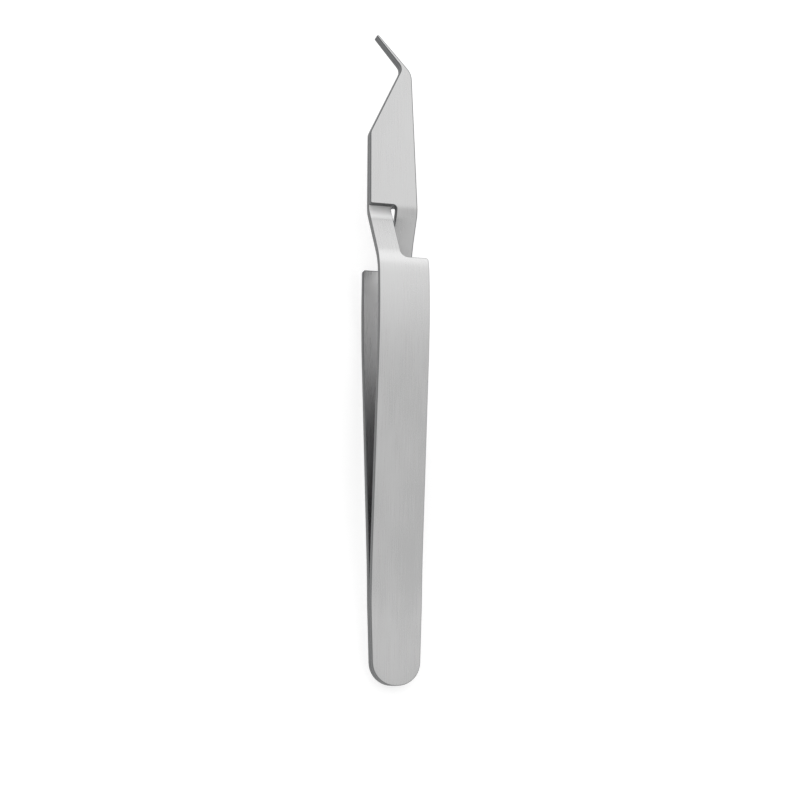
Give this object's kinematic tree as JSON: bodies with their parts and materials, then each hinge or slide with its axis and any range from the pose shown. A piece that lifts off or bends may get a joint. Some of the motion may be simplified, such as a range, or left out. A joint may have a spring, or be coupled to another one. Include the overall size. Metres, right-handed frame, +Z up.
{
  "type": "orthodontic bracket holder",
  "caption": "Cross-action tweezers for placing tooth brackets: arched flat spring arms joined at a rounded butt, stepped necks that cross, slim angled tips.",
  "frame": {"origin": "centre of the box round the tool, at the height of the surface it lies on", "axes": "+Y from the butt towards the tips, +X across the strips with the tips bending towards -X, +Z up"},
  "size_m": [0.0092, 0.1198, 0.0141],
  "materials": {
    "stainless_steel": "satin, fine glass-bead and brush finish"
  },
  "bodies": {
    "lower_body": {"lower_arm": "stainless_steel"},
    "upper_body": {"upper_arm": "stainless_steel"}
  },
  "joints": [
    {"name": "arm_flex", "type": "hinge", "parent": "lower_body", "child": "upper_body", "pos_m": [0, -0.0424, 0.00291], "axis": [-1, 0, 0], "range_deg": [0, 6], "stiffness_Nm_per_rad": 4, "springref_deg": -2.86}
  ]
}
